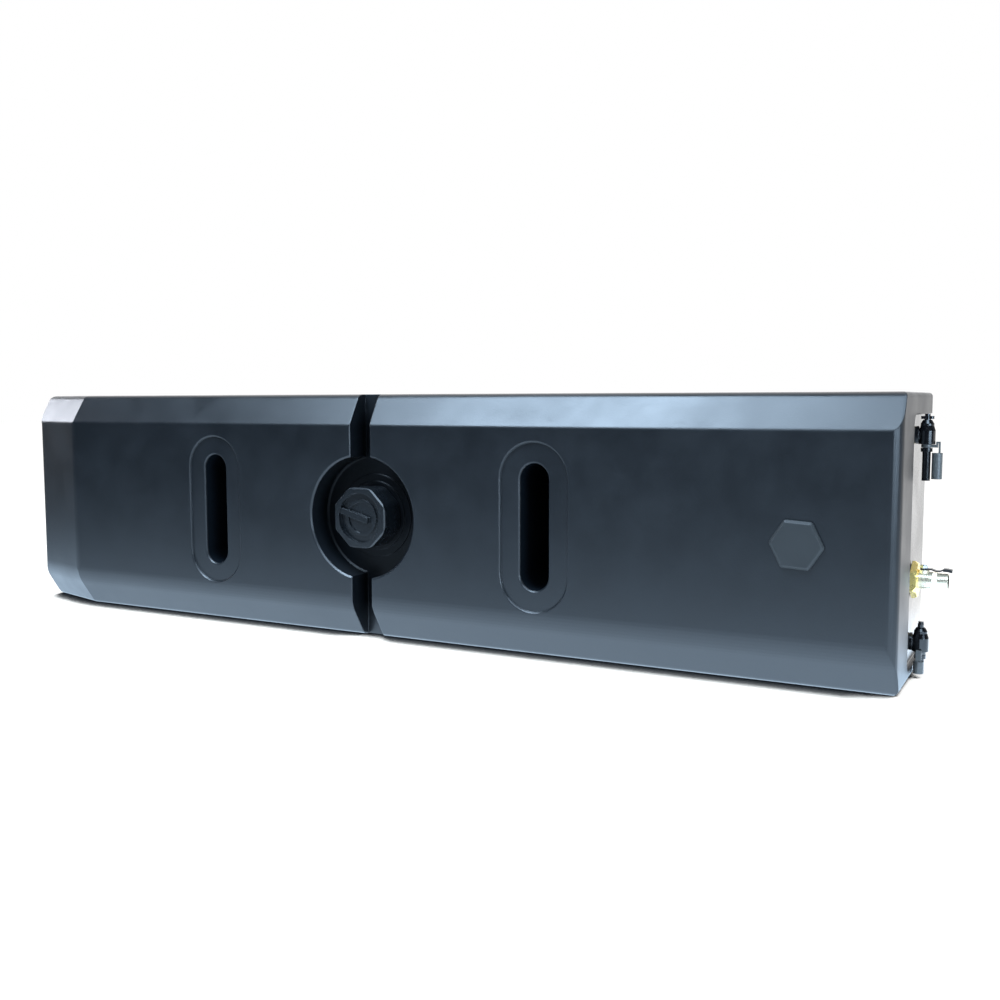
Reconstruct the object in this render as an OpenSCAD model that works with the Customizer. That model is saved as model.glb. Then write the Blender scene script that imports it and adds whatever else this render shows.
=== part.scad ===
// Vehicle water tank: a hollow moulded tank with a filler cap, two small taps and a ball valve.
// Millimetres. The front faces -Y, the fittings are at the +X end, and the flat bottom lies at Z = 0.

/* [Tank shell] */
// Length of the shell from end to end
tank_l = 850; // [800:5:1000]
// Depth of the shell from front to back
tank_d = 150; // [140:1:190]
// Height of the shell
tank_h = 208; // [200:1:250]
// Wall thickness of the moulding
wall_t = 4.5; // [3.5:0.5:6]
// Height of the sloped band along the top of the front
top_band_h = 26; // [18:1:30]
// Set-back of the sloped band along the top of the front
top_band_d = 15; // [8:1:20]
// Height of the sloped band along the bottom of the front
bottom_band_h = 29; // [18:1:32]
// Set-back of the sloped band along the bottom of the front
bottom_band_d = 18; // [8:1:22]
// Length of the angled facet at the left end of the front
facet_l = 73; // [50:1:100]
// Set-back of the angled facet at the left end
facet_d = 21; // [10:1:30]
// Radius of the long outer edges
edge_r = 6; // [5:0.5:8]
// Radius of the edges and upright corners of the back
back_edge_r = 1.5; // [1:0.5:6]
// Radius of the edge between the top and the right end
end_edge_r = 3.5; // [1:0.5:8]
// Radius of the upright corners at the two ends of the front
corner_r = 8; // [5:0.5:12]
// Radius of the edge between the top band and the top
crown_r = 8; // [5:0.5:10]
// Radius of the soft creases of the front
crease_r = 30; // [10:1:40]

/* [Filler recess and groove] */
// Distance of the filler centre line from the middle of the shell, towards the left end
filler_offset = 8; // [0:1:20]
// Radius of the round filler recess
recess_r = 52; // [46:0.5:56]
// Depth of the filler recess and of the upright groove
recess_depth = 24; // [22:0.5:30]
// Radius at the mouth of the filler recess
recess_lip_r = 1.5; // [1:0.5:3]
// Width of the upright groove
groove_w = 20; // [12:1:26]
// Width of the sloped lip along the edges of the groove
groove_lip = 1; // [0.4:0.2:1.6]

/* [Filler neck and cap] */
// Outer radius of the filler neck
neck_r = 22; // [20:0.5:22]
// Wall thickness of the filler neck
neck_t = 3; // [3:0.5:5]
// Radial clearance between the neck and the cap
cap_clear = 0.3; // [0.2:0.05:0.6]
// Radius of the eight-sided cap to its corners, before they are rounded
cap_r = 27.8; // [27.6:0.1:29]
// Distance that the cap stands out of the front face
cap_proud = 2; // [0:0.5:4]
// Distance of the cap's skirt from the recess floor
skirt_gap = 2.5; // [2.3:0.1:4]
// Thickness of the cap's top plate
cap_plate_t = 3; // [2:0.5:4]
// Depth of the sunk face of the cap
cap_face_depth = 4; // [2:0.5:5]
// Radius of the sunk face of the cap
cap_face_r = 21; // [18:0.5:22]
// Width of the grip bar across the cap
grip_w = 5; // [3:0.5:8]
// Length of the grip bar from the edge of the sunk face
grip_l = 29; // [20:1:42]
// Turn of the grip bar from level, in degrees
grip_turn = 16; // [0:1:45]
// Thickness of the gasket under the cap
gasket_t = 2; // [1:0.5:3]

/* [Through slots] */
// Distance between the centre lines of the two slots
slot_spacing = 325; // [280:5:400]
// Width of each slot
slot_w = 25; // [16:1:32]
// Height of each slot from end to end
slot_h = 100; // [70:1:110]
// Width of the shallow step round each slot
slot_step_w = 16.5; // [8:0.5:20]
// Depth of the shallow step round each slot
slot_step_t = 2; // [1.5:0.5:3]
// Width of the sloped lip at the edges of a slot and its step
slot_lip = 1; // [0.4:0.2:1.2]

/* [End pocket] */
// Distance of the pocket's front edge behind the front face
pocket_setback = 52; // [40:1:60]
// Depth of the pocket in the right end
pocket_t = 4; // [2:0.5:6]
// Height of the band left above the pocket
pocket_top_band = 16; // [14:1:20]
// Height of the band left below the pocket
pocket_bottom_band = 9; // [8:1:11]
// Radius of the pocket's front corners
pocket_r = 8; // [4:1:12]

/* [Badge] */
// Distance of the badge's centre from the right end
badge_from_end = 67.5; // [50:0.5:90]
// Radius of the badge to its corners
badge_r = 19.5; // [14:0.5:24]
// Thickness of the badge
badge_t = 3; // [2:0.5:5]
// Width of the sloped edge round the badge
badge_bevel = 1.8; // [0.4:0.2:2.4]
// Distance of the badge's centre below mid height
badge_drop = 1; // [0:0.5:10]
// Turn of the badge, in degrees
badge_turn = 3.5; // [0:0.5:10]

/* [Places of the fittings] */
// Distance of the fittings' axes behind the front face
fitting_setback = 88; // [80:1:105]
// Distance of the upper tap's axis below the top of the shell
upper_tap_drop = 31; // [30:1:45]
// Height of the ball valve's axis
valve_z = 71; // [66:1:110]
// Height of the lower tap's axis
lower_tap_z = 25; // [24:1:32]

/* [Taps] */
// Radius of the thread on a tap's stub
tap_thread_r = 4.86; // [4.4:0.01:5.2]
// Length of a tap's stub behind its flange
tap_stub_l = 9; // [7:0.5:10]
// Radius of a tap's flange
tap_flange_r = 6.5; // [6:0.1:7.5]
// Thickness of a tap's flange
tap_flange_t = 2; // [1.5:0.1:3]
// Outer radius of a tap's barrel
barrel_r = 5.8; // [5.6:0.1:7]
// Distance of the barrel's axis from the outer face of the flange
barrel_reach = 5.3; // [5.2:0.1:7]
// Radius of the turning plug
plug_r = 3; // [2.8:0.1:3.2]
// Radius of the waterway through a tap
tap_way_r = 1.4; // [1:0.1:1.8]
// Length of the T handle
tee_l = 9; // [8:0.5:16]
// Width of the T handle
tee_w = 4; // [3:0.5:5]
// Length of the upper tap's spout below its axis
upper_spout_l = 33; // [22:0.5:36]
// Length of the lower tap's spout below its axis
lower_spout_l = 15.5; // [15:0.5:16]
// Outer radius of a spout
spout_r = 2.9; // [2.5:0.1:3.2]
// Outer radius of a hanging dust cap
dust_cap_r = 3.7; // [3.6:0.1:4.2]
// Length of the upper tap's dust cap
upper_dust_cap_l = 19; // [12:0.5:22]
// Length of the lower tap's dust cap
lower_dust_cap_l = 9; // [6:0.5:10]

/* [Ball valve] */
// Radius of the thread on the valve's stub
valve_thread_r = 6.58; // [6.2:0.01:7]
// Length of the valve's stub behind its collar
valve_stub_l = 12; // [10:0.5:13]
// Width of the six-sided collar across its flats
collar_flats = 24; // [22:0.5:27]
// Thickness of the six-sided collar
collar_t = 4.4; // [3.5:0.1:6]
// Distance of the stem's axis from the collar's face
stem_reach = 3.6; // [3.5:0.1:5]
// Outer radius of the valve's barrel
valve_barrel_r = 6.6; // [6.5:0.1:7]
// Radius of the ball
ball_r = 4.2; // [4:0.1:4.3]
// Radius of the waterway through the valve
valve_way_r = 2.3; // [1.8:0.1:2.4]
// Distance that the outlet tube stands out past the barrel
outlet_l = 10.5; // [8:0.5:14]
// Outer radius of the outlet tube
outlet_r = 6; // [5.8:0.1:6.2]
// Radius of the stem
stem_r = 2; // [1.6:0.1:2.1]
// Length of the lever from the stem to its tip
lever_l = 19.5; // [16:0.5:30]
// Width of the lever
lever_w = 5; // [4.6:0.1:7]
// Thickness of the lever
lever_t = 1; // [0.8:0.1:1.2]

/* [Fits] */
// Radial clearance of a part that turns in another
turn_clear = 0.05; // [0.02:0.01:0.1]
// Radial clearance of a screwed joint
screw_clear = 0.09; // [0.05:0.01:0.1]
// Thickness of a fitting's sealing washer
washer_t = 0.8; // [0.6:0.1:1.5]

/* [Hidden] */
$fn = 64;

black = [0.07, 0.075, 0.085];
gloss_black = [0.03, 0.03, 0.035];
rubber_black = [0.05, 0.05, 0.05];
badge_grey = [0.16, 0.17, 0.19];
brass = [0.80, 0.62, 0.27];
white_seal = [0.92, 0.92, 0.90];

// Overlap that keeps two joined forms of one piece from only touching
lap = 0.5;
// Length of a cut that has to pass right through
far = 400;
// Segments in each rounded corner of an outline
arc_steps = 6;
least_r = 0.5;

front_y = -tank_d / 2;
back_y = tank_d / 2;
end_x = tank_l / 2;
filler_x = -filler_offset;
mid_z = tank_h / 2;
upper_tap_z = tank_h - upper_tap_drop;
floor_y = front_y + recess_depth;
facet_turn = atan(facet_d / facet_l);
slot_xs = [filler_x - slot_spacing / 2, filler_x + slot_spacing / 2];

// Outlines with rounded corners, kept parallel to themselves when they are inset

function unit(v) = v / norm(v);
function inward(a, b) = let (d = unit(b - a)) [-d[1], d[0]];
function miter(n, m) = (n + m) / (1 + n * m);
function heading(v) = atan2(v[1], v[0]);
function corner_arc(p, n, m, r) =
    let (c = p + miter(n, m) * r, from = heading(-n), sweep = (heading(-m) - from + 360) % 360)
    [for (i = [0:arc_steps]) c + r * [cos(from + sweep * i / arc_steps), sin(from + sweep * i / arc_steps)]];
function rounded_outline(points, radii, inset) =
    let (count = len(points))
    [for (i = [0:count - 1])
        let (before = points[(i + count - 1) % count], here = points[i], after = points[(i + 1) % count],
             n = inward(before, here), m = inward(here, after))
        each corner_arc(here + miter(n, m) * inset, n, m, max(radii[i] - inset, least_r))];

function section_points(rear) = [
    [front_y + bottom_band_d, 0], [rear, 0], [rear, tank_h],
    [front_y + top_band_d, tank_h], [front_y, tank_h - top_band_h], [front_y, bottom_band_h]];
section_radii = [edge_r, back_edge_r, back_edge_r, crown_r, edge_r, crease_r];

module section_prism(rear, inset) {
    translate([-tank_l, 0, 0])
        rotate([90, 0, 90])
            linear_extrude(2 * tank_l)
                polygon(rounded_outline(section_points(rear), section_radii, inset));
}

// The front's section again, turned to follow the angled facet
module facet_prism(inset) {
    pivot = [-end_x + facet_l, front_y, 0];
    translate(pivot)
        rotate([0, 0, -facet_turn])
            translate(-pivot)
                section_prism(back_y + tank_l, inset);
}

module plan_prism(inset) {
    points = [[-end_x + facet_l, front_y], [end_x, front_y], [end_x, back_y],
              [-end_x, back_y], [-end_x, front_y + facet_d]];
    radii = [crease_r, corner_r, back_edge_r, back_edge_r, corner_r];
    translate([0, 0, -lap])
        linear_extrude(tank_h + 2 * lap)
            polygon(rounded_outline(points, radii, inset));
}

module elevation_prism(inset) {
    points = [[-end_x, 0], [end_x, 0], [end_x, tank_h], [-end_x, tank_h]];
    translate([0, back_y + lap, 0])
        rotate([90, 0, 0])
            linear_extrude(tank_d + 2 * lap)
                polygon(rounded_outline(points, [edge_r, edge_r, end_edge_r, edge_r], inset));
}

module tank_form(inset) {
    intersection() {
        section_prism(back_y, inset);
        facet_prism(inset);
        plan_prism(inset);
        elevation_prism(inset);
    }
}

// Places a form whose own +Z leaves the tank along -Y, from the given plane
module facing_front(x, y, z) {
    translate([x, y, z])
        rotate([90, 0, 0])
            children();
}

// Places a form whose own +Z leaves the tank along +X, with its own +Y up
module facing_end(z) {
    translate([end_x - pocket_t, front_y + fitting_setback, z])
        rotate([90, 0, 90])
            children();
}

module ring(outer, inner, height) {
    difference() {
        cylinder(r = outer, h = height);
        translate([0, 0, -lap])
            cylinder(r = inner, h = height + 2 * lap);
    }
}

// Half section of a slot and its step, from the back of the tank to the front: [half width, place along -Y]
function slot_section(grow) =
    let (half = slot_w / 2 + grow, step = half + slot_step_w, low = -slot_step_t - grow, back = -tank_d)
    [[0, back - lap], [half + slot_lip, back - lap], [half + slot_lip, back], [half, back + slot_lip],
     [half, low - slot_lip], [half + slot_lip, low], [step, low], [step, -slot_lip],
     [step + slot_lip, 0], [step + slot_lip, lap], [0, lap]];

// The half section turned about the centre of each round end, and run straight between them
module slot_cut(x, grow) {
    section = slot_section(grow);
    straight = slot_h - slot_w;
    facing_front(x, front_y, mid_z) {
        for (side = [-1, 1])
            translate([0, side * straight / 2, 0])
                rotate_extrude()
                    polygon(section);
        translate([0, straight / 2, 0])
            rotate([90, 0, 0])
                linear_extrude(straight)
                    polygon(concat(section, [for (i = [len(section) - 2:-1:1]) [-section[i][0], section[i][1]]]));
    }
}

module recess_cut(grow) {
    depth = recess_depth + grow;
    r = recess_r + grow;
    lip = recess_lip_r;
    facing_front(filler_x, floor_y + grow, mid_z)
        rotate_extrude()
            polygon([[0, 0], [r - lip, 0], [r, lip], [r, depth - lip], [r + lip, depth], [r + lip, depth + lap],
                     [0, depth + lap]]);
}

module groove_cut(grow) {
    half = groove_w / 2 + grow;
    deep = floor_y + grow;
    translate([filler_x, 0, -lap])
        linear_extrude(tank_h + 2 * lap)
            polygon([[-half - groove_lip, front_y - lap], [half + groove_lip, front_y - lap],
                     [half + groove_lip, front_y], [half, front_y + groove_lip], [half, deep],
                     [-half, deep], [-half, front_y + groove_lip], [-half - groove_lip, front_y]]);
}

module pocket_cut(grow) {
    low = pocket_bottom_band - grow;
    high = tank_h - pocket_top_band + grow;
    near = front_y + pocket_setback - grow;
    r = pocket_r + grow;
    translate([end_x - pocket_t - grow, 0, 0])
        rotate([90, 0, 90])
            linear_extrude(pocket_t + grow + lap)
                polygon(rounded_outline([[near, low], [back_y + far, low], [back_y + far, high], [near, high]],
                                        [r, least_r, least_r, r], 0));
}

// Inserts: a grooved barrel flush with the wall's face and a six-sided end buried in the moulding

insert_spare_l = 2.5;
tap_insert_l = tap_stub_l + insert_spare_l;
tap_insert_wall = 1.5;
tap_insert_r = tap_thread_r + tap_insert_wall;
valve_insert_l = valve_stub_l + insert_spare_l;
valve_insert_wall = 2.6;
valve_insert_r = valve_thread_r + valve_insert_wall;
insert_hex_t = 3;
insert_hex_step = 1.6;
insert_groove_t = 0.6;
insert_groove_w = 2;
insert_groove_at = [0.3, 0.6];
boss_t = 3;

module insert_form(r, l) {
    difference() {
        translate([0, 0, -l])
            cylinder(r = r, h = l);
        for (at = insert_groove_at)
            translate([0, 0, -l * at - insert_groove_w / 2])
                ring(r + lap, r - insert_groove_t, insert_groove_w);
    }
    translate([0, 0, -l])
        cylinder(r = r + insert_hex_step, h = insert_hex_t, $fn = 6);
}

module insert(r, l, thread_r) {
    difference() {
        insert_form(r, l);
        translate([0, 0, -l - lap])
            cylinder(r = thread_r + screw_clear, h = l + 2 * lap);
    }
}

module boss(r, l) {
    translate([0, 0, -l - boss_t])
        cylinder(r = r + insert_hex_step + boss_t, h = l + boss_t);
}

module port_cut(r, l, way_r) {
    insert_form(r, l);
    translate([0, 0, -l - boss_t - lap])
        cylinder(r = way_r, h = l + boss_t + 2 * lap);
}

module each_boss() {
    for (z = [upper_tap_z, lower_tap_z])
        facing_end(z)
            boss(tap_insert_r, tap_insert_l);
    facing_end(valve_z)
        boss(valve_insert_r, valve_insert_l);
}

module tank_cavity() {
    difference() {
        tank_form(wall_t);
        for (x = slot_xs)
            slot_cut(x, wall_t);
        recess_cut(wall_t);
        groove_cut(wall_t);
        pocket_cut(wall_t);
        each_boss();
    }
}

neck_h = recess_depth + cap_proud - cap_face_depth - cap_plate_t - gasket_t;
neck_bore_r = neck_r - neck_t;
neck_steps = [[36, 1], [30, 2]];
port_step = 1;

module neck() {
    facing_front(filler_x, floor_y + lap, mid_z) {
        cylinder(r = neck_r, h = neck_h + lap);
        for (step = neck_steps)
            cylinder(r = step[0], h = step[1] + lap);
    }
}

module tank_shell() {
    color(black)
        difference() {
            union() {
                difference() {
                    tank_form(0);
                    tank_cavity();
                    for (x = slot_xs)
                        slot_cut(x, 0);
                    recess_cut(0);
                    groove_cut(0);
                    pocket_cut(0);
                }
                neck();
            }
            facing_front(filler_x, floor_y + wall_t + lap, mid_z)
                cylinder(r = neck_bore_r, h = neck_h + wall_t + 2 * lap);
            for (z = [upper_tap_z, lower_tap_z])
                facing_end(z)
                    port_cut(tap_insert_r, tap_insert_l, tap_thread_r - port_step);
            facing_end(valve_z)
                port_cut(valve_insert_r, valve_insert_l, valve_thread_r - port_step);
        }
}

// Slopes off the upper edges of a many-sided plate with its flats at the given radius
module edge_slopes(sides, turn, flat_r, top, bevel) {
    for (i = [0:sides - 1])
        rotate(turn + i * 360 / sides)
            translate([flat_r, -flat_r, top - bevel])
                rotate([0, -45, 0])
                    cube(2 * flat_r);
}

// Filler cap: its own +Z points out of the tank, from the recess floor

cap_top = recess_depth + cap_proud;
cap_sides = 8;
cap_corner_r = 12;
cap_side_turn = 38.5;
cap_bevel = 1.2;
grip_low = 0.8;
face_ring = [15.5, 13, 1.2];
gasket_inset = 0.2;
gasket_lap = 1;

function many_sided(sides, r) = [for (i = [0:sides - 1]) r * [cos(i * 360 / sides), sin(i * 360 / sides)]];

module filler_cap() {
    face_z = cap_top - cap_face_depth;
    flat_r = cap_r * cos(180 / cap_sides);
    color(gloss_black)
        facing_front(filler_x, floor_y, mid_z)
            rotate([0, 0, -grip_turn])
                union() {
                    difference() {
                        translate([0, 0, skirt_gap])
                            rotate(cap_side_turn)
                                linear_extrude(cap_top - skirt_gap)
                                    polygon(rounded_outline(many_sided(cap_sides, cap_r),
                                                            [for (i = [1:cap_sides]) cap_corner_r], 0));
                        edge_slopes(cap_sides, cap_side_turn + 180 / cap_sides, flat_r, cap_top, cap_bevel);
                        translate([0, 0, face_z])
                            cylinder(r = cap_face_r, h = cap_face_depth + lap);
                        translate([0, 0, -lap])
                            cylinder(r = neck_r + cap_clear, h = face_z - cap_plate_t + lap);
                    }
                    translate([-cap_face_r - lap, -grip_w / 2, face_z - lap])
                        cube([grip_l + lap, grip_w, cap_face_depth - grip_low + lap]);
                    translate([0, 0, face_z - lap])
                        ring(face_ring[0], face_ring[1], face_ring[2] + lap);
                }
}

module cap_gasket() {
    color(rubber_black)
        facing_front(filler_x, floor_y - neck_h, mid_z)
            ring(neck_r - gasket_inset, neck_bore_r - gasket_lap, gasket_t);
}

badge_sides = 6;
badge_corner_r = 3;

module hex_badge() {
    flat_r = badge_r * cos(180 / badge_sides);
    color(badge_grey)
        facing_front(end_x - badge_from_end, front_y, mid_z - badge_drop)
            rotate([0, 0, -badge_turn])
                difference() {
                    linear_extrude(badge_t)
                        polygon(rounded_outline(many_sided(badge_sides, badge_r),
                                                [for (i = [1:badge_sides]) badge_corner_r], 0));
                    edge_slopes(badge_sides, 180 / badge_sides, flat_r, badge_t, badge_bevel);
                }
}

// Taps: built from the pocket floor, own +Z out of the tank and own +Y up

tap_face = washer_t + tap_flange_t;
barrel_z = tap_face + barrel_reach;
barrel_low = -6.5;
barrel_high = 3.2;
branch_r = 4.3;
bonnet_gap = 0.3;
bonnet_low = tap_flange_r + bonnet_gap;
collar_high = bonnet_low + 1.2;
bonnet_high = collar_high + 3;
bonnet_r = 4.7;
bonnet_side_h = 1.5;
bonnet_brim = 0.8;
bonnet_seat = 0.2;
plug_low = -5.5;
plug_high = collar_high - 0.4;
bonnet_thread_r = plug_r + 1;
plug_stem_r = 2.3;
seal_r = 0.6;
seal_y = 6;
// Room round the sealing ring in its groove, and how far the groove's floor lies below the ring
seal_room = 0.1;
seal_floor_gap = 0.02;
spout_neck_r = 2.4;
spout_collar_step = 1.2;
spout_ring = [-9.2, -12];
washer_inset = 0.3;

module tap_washer() {
    color(rubber_black)
        ring(tap_flange_r - washer_inset, tap_thread_r + screw_clear, washer_t);
}

// Moves a form with its own +Z up to the barrel's upright axis
module on_barrel() {
    translate([0, 0, barrel_z])
        rotate([-90, 0, 0])
            children();
}

module tap_body(spout_l) {
    color(gloss_black)
        difference() {
            union() {
                translate([0, 0, washer_t - tap_stub_l])
                    cylinder(r = tap_thread_r, h = tap_stub_l + lap);
                translate([0, 0, washer_t])
                    cylinder(r = tap_flange_r, h = tap_flange_t);
                translate([0, 0, washer_t])
                    cylinder(r = branch_r, h = barrel_z - washer_t);
                on_barrel() {
                    translate([0, 0, barrel_low])
                        cylinder(r = barrel_r, h = barrel_high - barrel_low);
                    translate([0, 0, barrel_high])
                        cylinder(r1 = barrel_r, r2 = bonnet_r, h = bonnet_low - barrel_high);
                    translate([0, 0, barrel_low])
                        cylinder(r = bonnet_thread_r, h = collar_high - barrel_low);
                    translate([0, 0, -spout_l])
                        cylinder(r = spout_r, h = spout_l + spout_ring[1] + lap);
                    translate([0, 0, spout_ring[1]])
                        cylinder(r = spout_r + spout_collar_step, h = spout_ring[0] - spout_ring[1]);
                    translate([0, 0, spout_ring[0] - lap])
                        cylinder(r = spout_neck_r, h = barrel_low - spout_ring[0] + 2 * lap);
                }
            }
            translate([0, 0, washer_t - tap_stub_l - lap])
                cylinder(r = tap_way_r, h = tap_stub_l + barrel_z);
            on_barrel() {
                translate([0, 0, plug_low])
                    cylinder(r = plug_r + turn_clear, h = collar_high - plug_low + lap);
                translate([0, 0, -spout_l - lap])
                    cylinder(r = tap_way_r, h = spout_l);
            }
        }
}

module tap_plug(turn) {
    knob_top = bonnet_high + 4.4;
    knob_taper = 0.4;
    tee_low = bonnet_high + 0.6;
    tee_t = 2.2;
    color(gloss_black)
        on_barrel()
            rotate([0, 0, turn])
                difference() {
                    union() {
                        translate([0, 0, plug_low + turn_clear])
                            cylinder(r = plug_r, h = plug_high - plug_low - turn_clear);
                        cylinder(r = plug_stem_r, h = tee_low + tee_t);
                        cylinder(r1 = plug_stem_r, r2 = plug_stem_r - knob_taper, h = knob_top);
                        translate([-tee_l / 2 + tee_w / 2, -tee_w / 2, tee_low])
                            cube([tee_l - tee_w, tee_w, tee_t]);
                        for (side = [-1, 1])
                            translate([side * (tee_l - tee_w) / 2, 0, tee_low])
                                cylinder(d = tee_w, h = tee_t);
                    }
                    translate([0, 0, seal_y - seal_r - seal_room])
                        ring(plug_r + lap, plug_r - 2 * seal_r - seal_floor_gap, 2 * (seal_r + seal_room));
                    translate([0, 0, plug_low - lap])
                        cylinder(r = tap_way_r, h = -plug_low + lap);
                    rotate([0, -90, 0])
                        cylinder(r = tap_way_r, h = plug_r + lap);
                }
}

module tap_plug_ring() {
    color(rubber_black)
        on_barrel()
            translate([0, 0, seal_y])
                rotate_extrude()
                    translate([plug_r - seal_r, 0])
                        circle(r = seal_r);
}

module tap_bonnet() {
    inner_r = bonnet_thread_r + screw_clear;
    ledge = collar_high + bonnet_seat;
    color(gloss_black)
        on_barrel()
            rotate_extrude()
                polygon([[inner_r, bonnet_low], [bonnet_r, bonnet_low], [bonnet_r, bonnet_low + bonnet_side_h],
                         [plug_stem_r + bonnet_brim, bonnet_high], [plug_stem_r + turn_clear, bonnet_high],
                         [plug_stem_r + turn_clear, ledge], [inner_r, ledge]]);
}

// Dust cap: a loose ring on the spout's neck, a strap that arches up and over, and the cap itself
module tap_dust_cap(cap_l, turn) {
    ring_gap = 0.3;
    ring_wall = 1.5;
    ring_high = barrel_low - ring_gap;
    ring_low = spout_ring[0] + ring_gap;
    strap_w = 4;
    strap_t = 1.2;
    strap_gap = 0.6;
    rise = barrel_r + strap_gap;
    fall = rise + strap_t + strap_gap;
    arch_y = ring_high + 2.2;
    hang_gap = 0.7;
    cap_top_y = spout_ring[1] - hang_gap;
    hang_x = spout_r + dust_cap_r + hang_gap;
    mouth_clear = 0.1;
    end_t = 0.5;
    color(rubber_black)
        on_barrel()
            rotate([0, 0, turn]) {
                difference() {
                    union() {
                        translate([0, 0, ring_low])
                            cylinder(r = spout_neck_r + ring_wall, h = ring_high - ring_low);
                        translate([-strap_w / 2, -rise - strap_t, ring_low])
                            cube([strap_w, rise + strap_t - spout_neck_r, ring_high - ring_low]);
                    }
                    translate([0, 0, ring_low - lap])
                        cylinder(r = spout_neck_r + ring_gap, h = ring_high - ring_low + 2 * lap);
                }
                translate([-strap_w / 2, -rise - strap_t, ring_low])
                    cube([strap_w, strap_t, arch_y - ring_low]);
                translate([-strap_w / 2, -fall - strap_t, arch_y - strap_t])
                    cube([strap_w, fall + strap_t - rise, strap_t]);
                translate([-strap_w / 2, -fall - strap_t, cap_top_y - lap])
                    cube([strap_w, strap_t, arch_y - cap_top_y + lap]);
                translate([0, -hang_x, cap_top_y - cap_l])
                    difference() {
                        cylinder(r = dust_cap_r, h = cap_l);
                        translate([0, 0, -lap])
                            cylinder(r = spout_r + mouth_clear, h = cap_l - end_t);
                    }
            }
}

module upper_tap_insert() { facing_end(upper_tap_z) color(brass) insert(tap_insert_r, tap_insert_l, tap_thread_r); }
module upper_tap_washer() { facing_end(upper_tap_z) tap_washer(); }
module upper_tap_body() { facing_end(upper_tap_z) tap_body(upper_spout_l); }
module upper_tap_plug() { facing_end(upper_tap_z) tap_plug(-90); }
module upper_tap_plug_ring() { facing_end(upper_tap_z) tap_plug_ring(); }
module upper_tap_bonnet() { facing_end(upper_tap_z) tap_bonnet(); }
module upper_tap_dust_cap() { facing_end(upper_tap_z) tap_dust_cap(upper_dust_cap_l, 0); }

module lower_tap_insert() { facing_end(lower_tap_z) color(brass) insert(tap_insert_r, tap_insert_l, tap_thread_r); }
module lower_tap_washer() { facing_end(lower_tap_z) tap_washer(); }
module lower_tap_body() { facing_end(lower_tap_z) tap_body(lower_spout_l); }
module lower_tap_plug() { facing_end(lower_tap_z) tap_plug(0); }
module lower_tap_plug_ring() { facing_end(lower_tap_z) tap_plug_ring(); }
module lower_tap_bonnet() { facing_end(lower_tap_z) tap_bonnet(); }
module lower_tap_dust_cap() { facing_end(lower_tap_z) tap_dust_cap(lower_dust_cap_l, -90); }

// Ball valve: built from the pocket floor, own +Z out of the tank and own +Y up

valve_face = washer_t + collar_t;
ball_z = valve_face + stem_reach;
chamber_r = ball_r + 0.4;
seat_t = 2.2;
seat_lap = 0.5;
seat_in = ball_z - ball_r + seat_lap - seat_t / 2;
seat_out = ball_z + ball_r - seat_lap - seat_t / 2;
seat_end = seat_out + seat_t;
outlet_thread_r = chamber_r + 0.7;
barrel_end = ball_z + 6.4;
end_hex_flats = 2 * outlet_r + 0.5;
end_hex_t = 3;
mouth_depth = 2;
mouth_wall = 0.7;
stem_top = 11.6;
stem_boss_r = 4;
lever_low = 8;
gland_low = 6.4;
packing_low = 4.6;
gland_r = 2.9;
stem_tang = 1.6;
tang_depth = 1.1;
tang_clear = 0.05;
tang_inset = 0.3;
lever_gap = 0.3;
seal_clear = 0.02;
gland_clear = 0.05;
valve_washer_inset = 0.8;
collar_slope = [1, 0.4];
sleeve_t = 0.5;
// Corner of the lever's side view where the sleeve begins
sleeve_from = 4;
nut_r = 3.2;
nut_t = 2;

module on_stem() {
    translate([0, 0, ball_z])
        rotate([-90, 0, 0])
            children();
}

module valve_washer() {
    color(rubber_black)
        facing_end(valve_z)
            ring(collar_flats / 2 - valve_washer_inset, valve_thread_r + screw_clear, washer_t);
}

module valve_body() {
    color(brass)
        facing_end(valve_z)
            difference() {
                union() {
                    translate([0, 0, washer_t - valve_stub_l])
                        cylinder(r = valve_thread_r, h = valve_stub_l + lap);
                    intersection() {
                        translate([0, 0, washer_t])
                            rotate([0, 0, 30])
                                cylinder(r = collar_flats / sqrt(3), h = collar_t, $fn = 6);
                        translate([0, 0, washer_t])
                            cylinder(r1 = collar_flats / sqrt(3) + collar_slope[0],
                                     r2 = collar_flats / 2 + collar_slope[1], h = collar_t);
                    }
                    translate([0, 0, washer_t])
                        cylinder(r = valve_barrel_r, h = barrel_end - washer_t);
                    on_stem()
                        cylinder(r = stem_boss_r, h = lever_low - lever_gap);
                }
                translate([0, 0, washer_t - valve_stub_l - lap])
                    cylinder(r = valve_way_r, h = far);
                translate([0, 0, seat_in])
                    cylinder(r = chamber_r, h = far);
                translate([0, 0, seat_end])
                    cylinder(r = outlet_thread_r + screw_clear, h = far);
                on_stem() {
                    cylinder(r = stem_r + turn_clear, h = far);
                    translate([0, 0, packing_low])
                        cylinder(r = gland_r, h = far);
                }
            }
}

module valve_end_piece() {
    color(brass)
        facing_end(valve_z)
            difference() {
                union() {
                    translate([0, 0, seat_end])
                        cylinder(r = outlet_thread_r, h = barrel_end - seat_end + lap);
                    translate([0, 0, barrel_end])
                        cylinder(r = outlet_r, h = outlet_l);
                    translate([0, 0, barrel_end])
                        cylinder(r = end_hex_flats / sqrt(3), h = end_hex_t, $fn = 6);
                }
                translate([0, 0, ball_z])
                    cylinder(r = valve_way_r, h = far);
                translate([0, 0, barrel_end + mouth_depth])
                    cylinder(r = outlet_r - mouth_wall, h = far);
            }
}

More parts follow.
